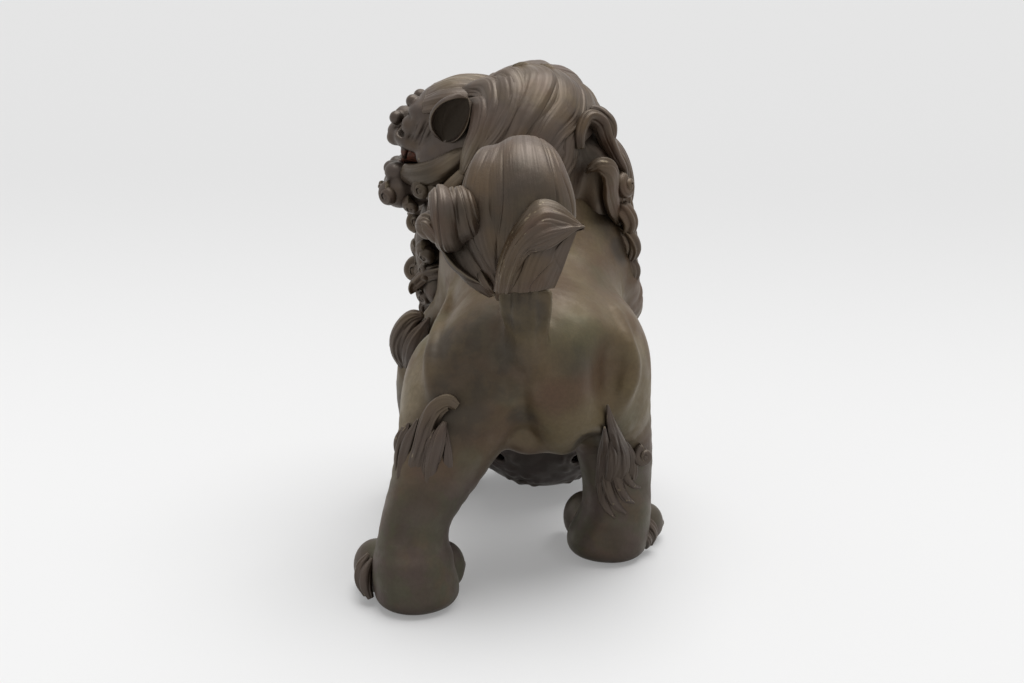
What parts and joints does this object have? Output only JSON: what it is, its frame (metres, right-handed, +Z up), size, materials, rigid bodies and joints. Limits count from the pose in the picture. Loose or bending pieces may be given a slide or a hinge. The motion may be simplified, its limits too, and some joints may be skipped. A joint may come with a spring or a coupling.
{
  "type": "bronze guardian lion",
  "caption": "Cast bronze guardian lion standing with its head turned to its left and its right forepaw on a pierced ball that turns on a peg; a free-standing ornament.",
  "frame": {"origin": "middle of the bounding box's footprint, on the surface that the feet stand on", "axes": "+Z up, the lion faces -Y, its left side is +X"},
  "size_m": [0.135, 0.2016, 0.2064],
  "materials": {
    "bronze": "satin olive-brown patina, rubbed lighter on the ridges",
    "hair_bronze": "satin dark mauve-brown patina with chased strands",
    "ball_bronze": "near-black brown patina",
    "mouth_copper": "matt copper red",
    "dowel_bronze": "bare turned metal"
  },
  "bodies": {
    "lion": {"trunk": "bronze", "hind_leg_left": "bronze", "hind_leg_right": "bronze", "foreleg_left": "bronze", "foreleg_right": "bronze", "head": "bronze", "lower_jaw": "bronze", "tongue": "mouth_copper", "ear_left": "bronze", "ear_right": "bronze", "mane_hood": "hair_bronze", "mane_right_locks": "hair_bronze", "mane_left_locks": "hair_bronze", "chest_locks": "hair_bronze", "tail_plume": "hair_bronze", "tail_curl": "hair_bronze", "tail_leaf": "hair_bronze", "hock_tuft_left": "hair_bronze", "hock_tuft_right": "hair_bronze", "elbow_tuft_left": "hair_bronze", "elbow_tuft_right": "hair_bronze", "ball_peg": "dowel_bronze", "hind_leg_left_dowel": "dowel_bronze", "hind_leg_right_dowel": "dowel_bronze", "foreleg_left_dowel": "dowel_bronze", "foreleg_right_dowel": "dowel_bronze", "tail_dowel": "dowel_bronze", "mane_dowel": "dowel_bronze", "neck_pin": "dowel_bronze", "tail_curl_rivet": "dowel_bronze", "tail_leaf_rivet": "dowel_bronze"},
    "ball": {"ball_lower_half": "ball_bronze", "ball_upper_half": "ball_bronze"}
  },
  "joints": [
    {"name": "ball_turn", "type": "hinge", "parent": "lion", "child": "ball", "pos_m": [-0.00816, -0.05984, 0.041], "axis": [0, 0, 1], "continuous": true}
  ]
}
